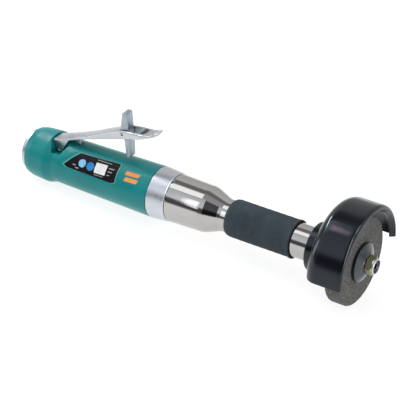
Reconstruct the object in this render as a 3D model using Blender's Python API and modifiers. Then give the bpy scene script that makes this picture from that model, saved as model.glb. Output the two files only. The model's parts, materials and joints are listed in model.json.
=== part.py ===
"""Straight air grinder with an extended nose, a type 1 grinding wheel and a guard.

Frame: +X runs along the spindle towards the wheel, +Z is the lever side.
The origin is on the bench, under the middle of the tool: the wheel's rim
touches Z = 0 and the spindle axis lies at Z = WHEEL_RADIUS.

Stations are measured along the spindle from the wheel's front face, in
millimetres, negative towards the air inlet.
"""
import math

import bmesh
import bpy
from mathutils import Vector

MM = 0.001
INCH = 0.0254

# Driving dimensions, in metres unless a name says otherwise.
WHEEL_RADIUS = 1.5 * INCH
WHEEL_THICKNESS = 0.5 * INCH
ARBOR_RADIUS = 0.1875 * INCH
REAR_STATION = -333.0
FRONT_STATION = 14.2
MIDDLE_STATION = 0.5 * (REAR_STATION + FRONT_STATION)
AXIS_Z = WHEEL_RADIUS
GAP = 0.3

HOUSING_RADIUS_FRONT = 23.0
HOUSING_RADIUS_REAR = 21.2
COLLAR_RADIUS = 23.5
MOTOR_BORE_RADIUS = 17.6
STEEL_BODY_RADIUS = 21.4
NECK_RADIUS = 14.4
GRIP_RADIUS = 16.4
GUARD_RADIUS = 49.5
GUARD_WALL = 1.8
GUARD_CUT = 1.3
HUB_RADIUS = 21.0
LIP_RADIUS = 43.0
COLLAR_BORE = 13.9
CAP_NECK_RADIUS = 13.6
FLANGE_RADIUS = 16.7
FLANGE_FRONT = 7.0
NUT_RADIUS = 8.25
ARBOR = ARBOR_RADIUS / MM
ARBOR_CLEAR = ARBOR + 0.34

LEVER_PIVOT = (-298.0, 14.5)
LOCK_PIVOT = (-229.0, 49.8)
LEVER_HALF_WIDTH = 7.2
CHANNEL_HALF_WIDTH = 4.9
LOCK_HALF_WIDTH = 4.3
VALVE_STATION = -279.0
SET_SCREW_STATION = -34.5

FINE_STEPS = 36
STEPS = 28
COARSE_STEPS = 16


def clear_scene():
    for item in list(bpy.data.objects):
        bpy.data.objects.remove(item, do_unlink=True)


def new_collection(name):
    collection = bpy.data.collections.new(name)
    bpy.context.scene.collection.children.link(collection)
    return collection


clear_scene()
PARTS = new_collection("air_grinder")
CUTTERS = new_collection("cutters")


def material(name, color, metallic, roughness):
    made = bpy.data.materials.new(name)
    made.use_nodes = True
    shader = made.node_tree.nodes["Principled BSDF"]
    shader.inputs["Base Color"].default_value = (*color, 1.0)
    shader.inputs["Metallic"].default_value = metallic
    shader.inputs["Roughness"].default_value = roughness
    return made


TEAL = material("teal_enamel", (0.0, 0.17, 0.16), 0.0, 0.35)
ALUMINIUM = material("satin_aluminium", (0.62, 0.64, 0.67), 1.0, 0.35)
POLISHED = material("polished_steel", (0.55, 0.54, 0.52), 1.0, 0.15)
STEEL = material("ground_steel", (0.45, 0.45, 0.46), 1.0, 0.3)
CAST = material("cast_aluminium", (0.5, 0.52, 0.55), 1.0, 0.4)
ZINC = material("zinc_lock", (0.35, 0.39, 0.43), 1.0, 0.45)
BLACK = material("black_enamel", (0.01, 0.011, 0.014), 0.0, 0.2)
RUBBER = material("slate_rubber", (0.03, 0.04, 0.048), 0.0, 0.7)
ABRASIVE = material("abrasive", (0.11, 0.1, 0.095), 0.0, 0.95)
YELLOW_ZINC = material("yellow_zinc", (0.3, 0.28, 0.16), 1.0, 0.35)
BRASS = material("brass", (0.6, 0.42, 0.16), 1.0, 0.3)
FELT = material("muffler_felt", (0.35, 0.33, 0.3), 0.0, 1.0)
PHENOLIC = material("rotor_blade_phenolic", (0.12, 0.06, 0.03), 0.0, 0.6)
NITRILE = material("nitrile_seal", (0.01, 0.01, 0.01), 0.0, 0.6)
LABEL = material("label_black", (0.005, 0.005, 0.008), 0.0, 0.3)


def along(station):
    """World X of a station in millimetres."""
    return (station - MIDDLE_STATION) * MM


def place(name, mesh, look, collection=PARTS):
    made = bpy.data.objects.new(name, mesh)
    collection.objects.link(made)
    if look is not None:
        mesh.materials.append(look)
    if collection is CUTTERS:
        made.hide_render = True
        made.display_type = "WIRE"
    return made


def screw(made, steps):
    turn = made.modifiers.new("turn", "SCREW")
    turn.axis = "Z"
    turn.steps = steps
    turn.render_steps = steps
    turn.use_merge_vertices = True
    turn.merge_threshold = 0.00001
    turn.use_smooth_shade = True


def profile_mesh(name, points, closed):
    """Edges through (radius, height) points, in metres, in the local XZ plane."""
    mesh = bpy.data.meshes.new(name)
    verts = [(radius, 0.0, height) for radius, height in points]
    edges = [(i, i + 1) for i in range(len(verts) - 1)]
    if closed:
        edges.append((len(verts) - 1, 0))
    mesh.from_pydata(verts, edges, [])
    return mesh


def turned(name, outline, look, steps=STEPS, collection=PARTS, offset=(0.0, 0.0)):
    """A turned piece on an axis parallel to the spindle.

    The outline is (station, radius) in millimetres. It runs from the front
    face out and back along the outer side. Ends on the axis leave it open,
    and otherwise it closes along the bore.
    """
    points = [(radius * MM, along(station)) for station, radius in outline]
    solid = outline[0][1] == 0.0
    made = place(name, profile_mesh(name, points, not solid), look, collection)
    made.location = (0.0, offset[0] * MM, AXIS_Z + offset[1] * MM)
    made.rotation_euler = (0.0, math.pi / 2, 0.0)
    screw(made, steps)
    return made


def upright(name, outline, look, station, steps=COARSE_STEPS, collection=PARTS):
    """A turned piece on a vertical axis: (height above spindle, radius) in mm."""
    points = [(radius * MM, height * MM) for height, radius in outline]
    solid = outline[0][1] == 0.0
    made = place(name, profile_mesh(name, points, not solid), look, collection)
    made.location = (along(station), 0.0, AXIS_Z)
    screw(made, steps)
    return made


def crosswise(name, outline, look, pivot, steps=COARSE_STEPS, collection=PARTS):
    """A turned piece along Y through a pivot: (y, radius) in mm, far end first."""
    points = [(radius * MM, y * MM) for y, radius in outline]
    solid = outline[0][1] == 0.0
    made = place(name, profile_mesh(name, points, not solid), look, collection)
    made.location = (along(pivot[0]), 0.0, AXIS_Z + pivot[1] * MM)
    made.rotation_euler = (-math.pi / 2, 0.0, 0.0)
    screw(made, steps)
    return made


def prism(name, outline, low, high, look=None, plane="side", collection=CUTTERS, pivot=(0.0, 0.0)):
    """An outline in millimetres extruded straight.

    plane "side" takes (station, height) and runs from y = low to y = high.
    plane "plan" takes (station, y) and runs from height low to height high.
    plane "end" takes (y, height) and runs from station low to station high.
    The object's origin is at the pivot (station, height).
    """
    def corner(a, b, depth):
        if plane == "side":
            station, y, height = a, depth, b
        elif plane == "plan":
            station, y, height = a, b, depth
        else:
            station, y, height = depth, a, b
        return Vector(((station - pivot[0]) * MM, y * MM, (height - pivot[1]) * MM))

    work = bmesh.new()
    ring = [work.verts.new(corner(a, b, low)) for a, b in outline]
    face = work.faces.new(ring)
    grown = bmesh.ops.extrude_face_region(work, geom=[face])
    top = [item for item in grown["geom"] if isinstance(item, bmesh.types.BMVert)]
    first = outline[0]
    bmesh.ops.translate(work, verts=top, vec=corner(*first, high) - corner(*first, low))
    bmesh.ops.recalc_face_normals(work, faces=work.faces)
    mesh = bpy.data.meshes.new(name)
    work.to_mesh(mesh)
    work.free()
    made = place(name, mesh, look, collection)
    made.location = (along(pivot[0]), 0.0, AXIS_Z + pivot[1] * MM)
    return made


def boolean(target, cutter, operation="DIFFERENCE"):
    step = target.modifiers.new(cutter.name, "BOOLEAN")
    step.operation = operation
    step.object = cutter
    step.solver = "EXACT"


def smooth(made, degrees=35.0):
    """Shade a straight-built piece smooth across its shallow edges."""
    made.data.shade_smooth()
    made.data.set_sharp_from_angle(angle=math.radians(degrees))


def arc(center, radius, start, end, count):
    """Points of an arc, in degrees, from start to end."""
    points = []
    for i in range(count + 1):
        angle = math.radians(start + (end - start) * i / count)
        points.append((center[0] + radius * math.cos(angle), center[1] + radius * math.sin(angle)))
    return points


def ring_outline(rear, front, inner, outer, bevel=0.0):
    """A plain ring with bevelled outer edges."""
    if bevel == 0.0:
        return [(front, inner), (front, outer), (rear, outer), (rear, inner)]
    return [(front, inner), (front, outer - bevel), (front - bevel, outer),
            (rear + bevel, outer), (rear, outer - bevel), (rear, inner)]


def bearing(name, rear, front, inner, outer):
    """A shielded ball bearing, drawn as one ring with recessed shields."""
    shield = 0.5
    step_in = inner + 0.28 * (outer - inner)
    step_out = inner + 0.72 * (outer - inner)
    outline = [
        (front, inner), (front, step_in), (front - shield, step_in), (front - shield, step_out),
        (front, step_out), (front, outer), (rear, outer), (rear, step_out),
        (rear + shield, step_out), (rear + shield, step_in), (rear, step_in), (rear, inner),
    ]
    return turned(name, outline, STEEL, COARSE_STEPS)


def helix(name, look, radius, wire, turns, start, end, axis_point, axis="z"):
    """An open coil spring as a bevelled curve, from start to end along its axis, in mm."""
    per_turn = 10
    count = int(turns * per_turn)
    curve = bpy.data.curves.new(name, "CURVE")
    curve.dimensions = "3D"
    curve.bevel_depth = 0.5 * wire * MM
    curve.bevel_resolution = 1
    curve.use_fill_caps = True
    curve.resolution_u = 1
    curve.render_resolution_u = 0
    spline = curve.splines.new("POLY")
    spline.points.add(count)
    for i in range(count + 1):
        angle = 2 * math.pi * i / per_turn
        across = radius * math.cos(angle) * MM
        over = radius * math.sin(angle) * MM
        depth = (start + (end - start) * i / count) * MM
        point = (across, over, depth) if axis == "z" else (across, depth, over)
        spline.points[i].co = (*point, 1.0)
    made = bpy.data.objects.new(name, curve)
    PARTS.objects.link(made)
    curve.materials.append(look)
    made.location = (along(axis_point[0]), 0.0, AXIS_Z + axis_point[1] * MM)
    return made


# ---------------------------------------------------------------- handle

WEB_REAR = -316.0
WEB_FRONT = -266.0
HOUSING_FRONT = -196.0
INLET_BORE_RADIUS = 8.2
BOSS_HALF_WIDTH = 4.6
POCKET_FLOOR = 9.6
BOSS_TOP = 18.9
COLLAR_FOOT = -298.5
LABEL_TOP_ANGLE = 110.0
LABEL_SPAN = 54.0
LABEL_THICKNESS = 0.4


def make_handle_housing():
    outline = [
        (HOUSING_FRONT, MOTOR_BORE_RADIUS),
        (HOUSING_FRONT, HOUSING_RADIUS_FRONT),
        (COLLAR_FOOT, HOUSING_RADIUS_REAR),
        (-306.0, COLLAR_RADIUS),
        (-309.0, COLLAR_RADIUS),
        (-322.0, 22.5),
        (-327.0, 21.6),
        (-328.6, 20.6),
        (-329.0, 19.2),
        (-329.0, 16.6),
        (WEB_REAR, 16.6),
        (WEB_REAR, INLET_BORE_RADIUS),
        (-298.0, INLET_BORE_RADIUS),
        (-298.0, 3.6),
        (WEB_FRONT, 3.6),
        (WEB_FRONT, MOTOR_BORE_RADIUS),
    ]
    housing = turned("handle_housing", outline, TEAL, FINE_STEPS)

    pocket = [(-305.4, 30.0), (-305.4, POCKET_FLOOR), (-295.5, POCKET_FLOOR), (-283.2, 25.0), (-283.2, 30.0)]
    boolean(housing, prism("cut_pocket_near", pocket, -30.0, -BOSS_HALF_WIDTH))
    boolean(housing, prism("cut_pocket_far", pocket, BOSS_HALF_WIDTH, 30.0))
    saddle = [(-305.4, 30.0), (-305.4, BOSS_TOP), (-290.0, BOSS_TOP), (-285.0, 30.0)]
    boolean(housing, prism("cut_saddle", saddle, -5.5, 5.5))
    pin_bore = [(30.0, 0.0), (30.0, 1.8), (-30.0, 1.8), (-30.0, 0.0)]
    boolean(housing, crosswise("cut_pin_bore", pin_bore, None, LEVER_PIVOT, 16, CUTTERS))

    valve_bore = [(40.0, 0.0), (40.0, 6.4), (20.2, 6.4), (20.2, 5.2), (-9.0, 5.2), (-9.0, 0.0)]
    boolean(housing, upright("cut_valve_bore", valve_bore, None, VALVE_STATION, COARSE_STEPS, CUTTERS))
    for side, y in (("near", -11.0), ("far", 11.0)):
        outline = [(WEB_FRONT + 5.0, 0.0), (WEB_FRONT + 5.0, 2.4), (WEB_REAR - 2.0, 2.4), (WEB_REAR - 2.0, 0.0)]
        boolean(housing, turned("cut_exhaust_" + side, outline, None, 12, CUTTERS, (y, -8.0)))
    return housing


def make_air_inlet():
    cap = [
        (-330.0, 9.3), (-330.0, 14.8), (-318.0, 14.8), (-318.0, 16.2), (-329.4, 16.2), (-329.4, 18.6),
        (-332.2, 18.6), (REAR_STATION, 17.8), (REAR_STATION, 9.3),
    ]
    exhaust_cap = turned("exhaust_cap", cap, ALUMINIUM, STEPS)
    hole_count = 10
    for i in range(hole_count):
        angle = 2 * math.pi * (i + 0.5) / hole_count
        hole = [(-325.0, 0.0), (-325.0, 1.5), (-340.0, 1.5), (-340.0, 0.0)]
        spot = (12.0 * math.cos(angle), 12.0 * math.sin(angle))
        boolean(exhaust_cap, turned("cut_port_%02d" % i, hole, None, 10, CUTTERS, spot))
    turned("muffler_felt", ring_outline(-329.6, -318.4, 9.3, 14.4), FELT, COARSE_STEPS)
    bushing = [
        (-299.0, 4.2), (-299.0, 7.6), (-299.8, 7.9), (WEB_REAR - 0.3, 7.9), (WEB_REAR - 1.9, 7.9),
        (WEB_REAR - 1.9, 8.9), (-332.4, 8.9), (REAR_STATION, 8.3), (REAR_STATION, 6.6),
        (-332.0, 5.7), (-312.0, 5.7), (-312.0, 4.2),
    ]
    turned("inlet_bushing", bushing, STEEL, STEPS)
    turned("inlet_seal", ring_outline(-317.6, -316.3, 8.2, 8.9), NITRILE, COARSE_STEPS)
    turned("inlet_screen", [(-312.3, 0.0), (-312.3, 5.4), (-313.1, 5.4), (-313.1, 0.0)], BRASS, COARSE_STEPS)


def make_throttle_valve():
    bushing = [(20.9, 2.3), (20.9, 4.3), (20.3, 4.9), (8.0, 4.9), (8.0, 2.3)]
    upright("valve_bushing", bushing, BRASS, VALVE_STATION)
    stem = [(27.5, 0.0), (27.3, 1.1), (26.6, 1.7), (26.0, 1.9), (7.7, 1.9), (7.7, 3.9), (5.7, 3.9), (5.7, 0.0)]
    upright("valve_stem", stem, STEEL, VALVE_STATION)
    helix("valve_spring", STEEL, 3.0, 0.8, 5, -8.2, 4.9, (VALVE_STATION, 0.0))


def make_lever():
    top = [
        (-303.6, 22.6), (-298.0, 24.5), (-286.0, 28.7), (-274.0, 33.4), (-262.0, 38.7), (-250.0, 44.4),
        (-238.0, 49.8), (-232.0, 52.0), (-226.0, 53.5), (-220.0, 54.4), (-208.0, 55.4), (-200.0, 57.6),
        (-194.2, 60.4),
    ]
    bottom = [
        (-194.0, 59.2), (-198.0, 56.4), (-204.0, 53.2), (-212.0, 50.2), (-231.0, 44.4), (-252.0, 37.6),
        (-274.0, 30.6), (-285.5, 26.3), (-288.0, 24.3),
    ]
    ear = arc(LEVER_PIVOT, 3.5, -35.0, -160.0, 8)
    outline = top + bottom + ear + [(-303.6, 20.4)]
    lever = prism("throttle_lever", outline, -12.0, 12.0, CAST, "side", PARTS, LEVER_PIVOT)
    half = [(-305.0, 7.2), (-262.0, 7.0), (-250.0, 6.8), (-238.0, 7.0), (-222.0, 7.6), (-208.0, 7.8), (-200.0, 6.6)]
    tip = arc((-197.6, 0.0), 4.0, 70.0, -70.0, 6)
    plan = half + tip + [(station, -y) for station, y in reversed(half)]
    boolean(lever, prism("keep_lever_plan", plan, 0.0, 80.0, None, "plan"), "INTERSECT")
    sheet = 2.2
    under = [(station, height - sheet) for station, height in top[:-2]]
    channel = [(-310.0, 18.0)] + under + [(-206.0, 0.0), (-310.0, 0.0)]
    boolean(lever, prism("cut_lever_channel", channel, -CHANNEL_HALF_WIDTH, CHANNEL_HALF_WIDTH))
    slot = [(-234.0, 40.0), (-234.0, 70.0), (-207.6, 70.0), (-207.6, 40.0)]
    boolean(lever, prism("cut_lever_slot", slot, -CHANNEL_HALF_WIDTH, CHANNEL_HALF_WIDTH))
    pin_bore = [(30.0, 0.0), (30.0, 1.8), (-30.0, 1.8), (-30.0, 0.0)]
    boolean(lever, crosswise("cut_lever_pivot", pin_bore, None, LEVER_PIVOT, 16, CUTTERS))
    pin_bore = [(30.0, 0.0), (30.0, 1.4), (-30.0, 1.4), (-30.0, 0.0)]
    boolean(lever, crosswise("cut_lock_pivot", pin_bore, None, LOCK_PIVOT, 16, CUTTERS))
    smooth(lever)
    crosswise("lever_pin", [(7.4, 0.0), (7.4, 1.2), (7.1, 1.5), (-7.1, 1.5), (-7.4, 1.2), (-7.4, 0.0)],
              STEEL, LEVER_PIVOT, 16)


def make_lock():
    front = [(-225.6, 69.6), (-225.0, 62.0), (-224.6, 55.0), (-224.2, 47.0), (-223.6, 40.0), (-223.4, 30.0)]
    foot = arc((-225.6, 28.4), 2.2, 0.0, -90.0, 4) + [(-226.8, 26.2), (-227.8, 27.0)]
    rear = [(-228.0, 33.0), (-228.4, 40.0), (-229.5, 45.2)]
    hub = arc(LOCK_PIVOT, 3.2, -125.0, -200.0, 4)
    upper = [(-231.4, 55.0), (-230.6, 62.0), (-229.6, 69.2), (-228.6, 70.0), (-226.6, 70.0)]
    outline = front + foot + rear + hub + upper
    lock = prism("lock_lever", outline, -LOCK_HALF_WIDTH, LOCK_HALF_WIDTH, ZINC, "side", PARTS, LOCK_PIVOT)
    pin_bore = [(30.0, 0.0), (30.0, 1.4), (-30.0, 1.4), (-30.0, 0.0)]
    boolean(lock, crosswise("cut_lock_bore", pin_bore, None, LOCK_PIVOT, 16, CUTTERS))
    pocket = [(30.0, 0.0), (30.0, 3.5), (1.0, 3.5), (1.0, 0.0)]
    boolean(lock, crosswise("cut_lock_spring_pocket", pocket, None, LOCK_PIVOT, 16, CUTTERS))
    smooth(lock)
    crosswise("lock_pin", [(7.0, 0.0), (7.0, 1.1), (-7.0, 1.1), (-7.0, 0.0)], STEEL, LOCK_PIVOT, 16)
    helix("lock_spring", STEEL, 2.35, 0.7, 3, 1.7, 4.0, LOCK_PIVOT, "y")


def make_label():
    """A thin curved plate on the near side of the handle, pointed towards the rear."""
    def surface(station):
        share = (station - COLLAR_FOOT) / (HOUSING_FRONT - COLLAR_FOOT)
        return HOUSING_RADIUS_REAR + (HOUSING_RADIUS_FRONT - HOUSING_RADIUS_REAR) * share

    start = math.radians(LABEL_TOP_ANGLE + 90.0)
    mesh = bpy.data.meshes.new("label_plate")
    verts = []
    for station in (-228.0, -286.0):
        radius = surface(station) + GAP
        verts.append((radius * math.cos(start) * MM, radius * math.sin(start) * MM, along(station)))
    mesh.from_pydata(verts, [(0, 1)], [])
    label = place("label_plate", mesh, LABEL)
    label.location = (0.0, 0.0, AXIS_Z)
    label.rotation_euler = (0.0, math.pi / 2, 0.0)
    screw(label, 12)
    label.modifiers["turn"].angle = math.radians(LABEL_SPAN)
    shell = label.modifiers.new("thickness", "SOLIDIFY")
    shell.thickness = LABEL_THICKNESS * MM
    shell.offset = 1.0
    outline = [(-284.5, 9.2), (-269.5, 19.8), (-229.6, 20.9), (-229.6, 9.0), (-233.4, 7.4), (-279.5, 7.4)]
    boolean(label, prism("keep_label_outline", outline, -40.0, -4.0), "INTERSECT")


def make_motor():
    turned("clamp_ring", [
        (-178.3, 17.8), (-178.3, 21.3), (-178.9, 21.8), (-195.1, 23.1), (-195.7, 22.9), (-195.7, 17.8),
    ], ALUMINIUM, FINE_STEPS)
    cylinder = turned("motor_cylinder", [
        (-205.0, 0.0), (-205.0, 17.2), (-258.0, 17.2), (-258.0, 0.0),
    ], STEEL, STEPS)
    bore = [(-200.0, 0.0), (-200.0, 13.2), (-263.0, 13.2), (-263.0, 0.0)]
    boolean(cylinder, turned("cut_cylinder_bore", bore, None, STEPS, CUTTERS, (0.0, -1.3)))
    turned("rear_end_plate", [
        (-258.3, 4.0), (-258.3, 17.2), (-265.4, 17.2), (-265.4, 8.0), (-259.6, 8.0), (-259.6, 4.0),
    ], ALUMINIUM, COARSE_STEPS)
    turned("front_end_plate", [
        (-197.4, 8.0), (-197.4, 17.2), (-204.7, 17.2), (-204.7, 4.0), (-203.4, 4.0), (-203.4, 8.0),
    ], ALUMINIUM, COARSE_STEPS)
    bearing("rotor_bearing_rear", -264.9, -259.9, 3.3, 7.5)
    bearing("rotor_bearing_front", -203.1, -198.1, 3.3, 7.5)
    rotor = turned("rotor", [
        (-186.5, 0.0), (-186.5, 3.0), (-205.3, 3.0), (-205.3, 11.4), (-257.7, 11.4), (-257.7, 3.0),
        (-265.2, 3.0), (-265.2, 0.0),
    ], STEEL, STEPS)
    blade_count = 4
    for i in range(blade_count):
        angle = 2 * math.pi * i / blade_count
        slot = prism("cut_blade_slot_%d" % i, [(-1.1, 5.6), (1.1, 5.6), (1.1, 14.0), (-1.1, 14.0)],
                     -258.5, -204.5, None, "end")
        slot.rotation_euler = (angle, 0.0, 0.0)
        boolean(rotor, slot)
        blade = prism("rotor_blade_%d" % (i + 1), [(-0.8, 6.0), (0.8, 6.0), (0.8, 11.3), (-0.8, 11.3)],
                      -257.4, -205.6, PHENOLIC, "end", PARTS)
        blade.rotation_euler = (angle, 0.0, 0.0)


def make_extension():
    turned("extension_housing", [
        (-62.2, 11.6), (-62.2, 13.9), (-62.7, NECK_RADIUS), (-126.8, NECK_RADIUS),
        (-129.6, 15.0), (-141.2, 19.5), (-144.8, 20.4), (-177.4, STEEL_BODY_RADIUS), (-178.0, 21.1),
        (-178.0, 17.4), (-196.8, 17.4), (-196.8, 14.5), (-178.0, 14.5), (-172.0, 11.6), (-129.0, 11.6),
        (-129.0, 9.2), (-84.0, 9.2), (-84.0, 11.6),
    ], POLISHED, FINE_STEPS)
    bearing("spindle_bearing_rear", -138.3, -129.3, 5.3, 11.3)
    bearing("spindle_bearing_middle", -83.7, -74.7, 5.3, 11.3)
    bearing("spindle_bearing_front", -74.4, -65.4, 5.3, 11.3)
    turned("bearing_cap", [
        (-27.6, 8.2), (-27.6, CAP_NECK_RADIUS), (-42.0, CAP_NECK_RADIUS), (-42.0, 14.3), (-42.5, 14.8),
        (-58.4, 14.8), (-58.4, 14.2), (-61.9, 14.2), (-61.9, 8.2),
    ], POLISHED, FINE_STEPS)
    turned("grip_sleeve", [
        (-58.8, 14.7), (-58.8, 16.2), (-59.3, 16.8), (-60.6, 16.8), (-61.4, 16.2), (-118.0, GRIP_RADIUS),
        (-120.2, 16.0), (-121.5, 15.2), (-121.8, 14.7),
    ], RUBBER, FINE_STEPS)


def make_spindle():
    turned("shaft_coupling", [
        (-180.0, 5.3), (-180.0, 6.9), (-180.6, 7.5), (-191.4, 7.5), (-192.0, 6.9), (-192.0, 3.3),
        (-186.2, 3.3), (-186.2, 5.3),
    ], STEEL, COARSE_STEPS)
    spindle = turned("spindle", [
        (13.4, 0.0), (13.4, 4.2), (12.9, ARBOR), (-17.3, ARBOR), (-17.3, 6.5), (-64.9, 6.5), (-64.9, 5.0),
        (-185.9, 5.0), (-185.9, 0.0),
    ], STEEL, COARSE_STEPS)
    socket = arc((0.0, 0.0), 2.9, 0.0, 300.0, 5)
    boolean(spindle, prism("cut_spindle_socket", socket, 7.5, 20.0, None, "end"))
    turned("inner_flange", [
        (-13.0, ARBOR_CLEAR), (-13.0, FLANGE_RADIUS), (-15.6, FLANGE_RADIUS), (-17.0, 12.0),
        (-17.0, ARBOR_CLEAR),
    ], STEEL, STEPS)
    rim = WHEEL_RADIUS / MM
    rear = -WHEEL_THICKNESS / MM
    turned("grinding_wheel", [
        (0.0, ARBOR_CLEAR), (0.0, rim - 0.5), (-0.5, rim), (rear + 0.5, rim), (rear, rim - 0.5),
        (rear, ARBOR_CLEAR),
    ], ABRASIVE, 40)
    turned("outer_flange", [
        (FLANGE_FRONT, ARBOR_CLEAR), (FLANGE_FRONT, 9.2), (FLANGE_FRONT - 0.5, 9.8), (3.6, 15.6),
        (3.0, FLANGE_RADIUS), (0.3, FLANGE_RADIUS), (0.3, ARBOR_CLEAR),
    ], STEEL, STEPS)
    nut = prism("wheel_nut", arc((0.0, 0.0), NUT_RADIUS, 0.0, 300.0, 5), FLANGE_FRONT + GAP,
                FRONT_STATION, YELLOW_ZINC, "end", PARTS)
    chamfer = [
        (FRONT_STATION + 1.0, 0.0), (FRONT_STATION + 1.0, 6.9), (FRONT_STATION, 6.8), (12.9, 7.2),
        (12.4, 7.7), (11.8, 8.6), (2.0, 8.6), (2.0, 0.0),
    ]
    boolean(nut, turned("keep_nut_chamfer", chamfer, None, COARSE_STEPS, CUTTERS), "INTERSECT")
    bore = [(30.0, 0.0), (30.0, ARBOR_CLEAR), (-10.0, ARBOR_CLEAR), (-10.0, 0.0)]
    boolean(nut, turned("cut_nut_bore", bore, None, COARSE_STEPS, CUTTERS))
    smooth(nut)


def make_guard():
    rim_corner = 3.2
    back_corner = 11.0
    rim_center = (4.0, GUARD_RADIUS - rim_corner)
    back_center = (-15.8, GUARD_RADIUS - back_corner)
    back = back_center[0] - back_corner
    outline = (
        arc(rim_center, rim_corner, -10.0, 90.0, 5)
        + arc(back_center, back_corner, 90.0, 180.0, 6)
        + [(back, HUB_RADIUS), (-41.1, HUB_RADIUS), (-41.7, HUB_RADIUS - 0.6), (-41.7, COLLAR_BORE),
           (back + GUARD_WALL, COLLAR_BORE)]
        + arc(back_center, back_corner - GUARD_WALL, 180.0, 90.0, 4)
        + [(1.0, GUARD_RADIUS - GUARD_WALL), (2.6, LIP_RADIUS + 0.4), (3.6, LIP_RADIUS)]
    )
    guard = turned("guard", outline, BLACK, FINE_STEPS)
    keep = HUB_RADIUS + 0.5
    rise = math.degrees(math.asin(GUARD_CUT / keep))
    below = [(60.0, GUARD_CUT), (60.0, -60.0), (-60.0, -60.0), (-60.0, GUARD_CUT)]
    below += arc((0.0, 0.0), keep, -180.0 - rise, rise, 16)
    boolean(guard, prism("cut_guard_opening", below, -50.0, 20.0, None, "end"))
    hole = [(-10.0, 0.0), (-10.0, 2.8), (-30.0, 2.8), (-30.0, 0.0)]
    boolean(guard, upright("cut_set_screw_hole", hole, None, SET_SCREW_STATION, 16, CUTTERS))
    screw_body = [(-14.2, 0.0), (-14.2, 2.1), (-14.6, 2.5), (-20.3, 2.5), (-20.3, 0.0)]
    set_screw = upright("guard_set_screw", screw_body, STEEL, SET_SCREW_STATION, 16)
    socket = arc((SET_SCREW_STATION, 0.0), 1.5, 0.0, 300.0, 5)
    boolean(set_screw, prism("cut_set_screw_socket", socket, -30.0, -17.8, None, "plan"))


make_handle_housing()
make_air_inlet()
make_throttle_valve()
make_lever()
make_lock()
make_label()
make_motor()
make_extension()
make_spindle()
make_guard()
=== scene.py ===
import json
import math

import bmesh
import bpy
from mathutils import Matrix, Vector, noise


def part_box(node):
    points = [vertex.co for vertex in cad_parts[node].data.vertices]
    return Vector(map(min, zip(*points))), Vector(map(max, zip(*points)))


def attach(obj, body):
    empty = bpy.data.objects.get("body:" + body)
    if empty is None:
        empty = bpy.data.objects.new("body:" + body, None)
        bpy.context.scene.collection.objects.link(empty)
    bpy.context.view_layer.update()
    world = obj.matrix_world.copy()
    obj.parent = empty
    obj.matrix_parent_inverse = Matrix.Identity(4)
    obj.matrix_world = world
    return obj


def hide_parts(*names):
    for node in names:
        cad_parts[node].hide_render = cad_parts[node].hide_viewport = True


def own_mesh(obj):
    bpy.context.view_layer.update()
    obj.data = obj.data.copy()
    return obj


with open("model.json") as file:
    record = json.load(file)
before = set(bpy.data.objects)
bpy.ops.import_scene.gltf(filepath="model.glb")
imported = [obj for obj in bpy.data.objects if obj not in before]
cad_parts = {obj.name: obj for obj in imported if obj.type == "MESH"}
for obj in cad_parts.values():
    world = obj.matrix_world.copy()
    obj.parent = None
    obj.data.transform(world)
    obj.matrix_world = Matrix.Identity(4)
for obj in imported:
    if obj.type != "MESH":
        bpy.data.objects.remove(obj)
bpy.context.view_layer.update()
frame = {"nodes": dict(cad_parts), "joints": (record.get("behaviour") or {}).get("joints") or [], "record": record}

# ---- frame of reference
#
# Stations are millimetres along the spindle from the wheel's front face, rising towards
# the wheel's end of the tool. Heights and y are millimetres from the spindle axis.

MM = 0.001
WHITE = (1.0, 1.0, 1.0)
JOINTS = {joint["name"]: joint for joint in frame["joints"]}
AXIS_Z = JOINTS["spindle_spin"]["pos_m"][2]
WHEEL_FACE_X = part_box("grinding_wheel")[1][0]
LEVER_PIVOT = JOINTS["throttle_press"]["pos_m"]
LOCK_PIVOT = JOINTS["lock_tilt"]["pos_m"]


def along(station):
    return WHEEL_FACE_X + station * MM


def station_of(x):
    return (x - WHEEL_FACE_X) / MM


def span(node):
    """A node's rear and front stations."""
    low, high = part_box(node)
    return station_of(low[0]), station_of(high[0])


def outer_radius(node):
    low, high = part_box(node)
    return (high[1] - low[1]) / 2 / MM


# ---- material helpers

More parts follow.
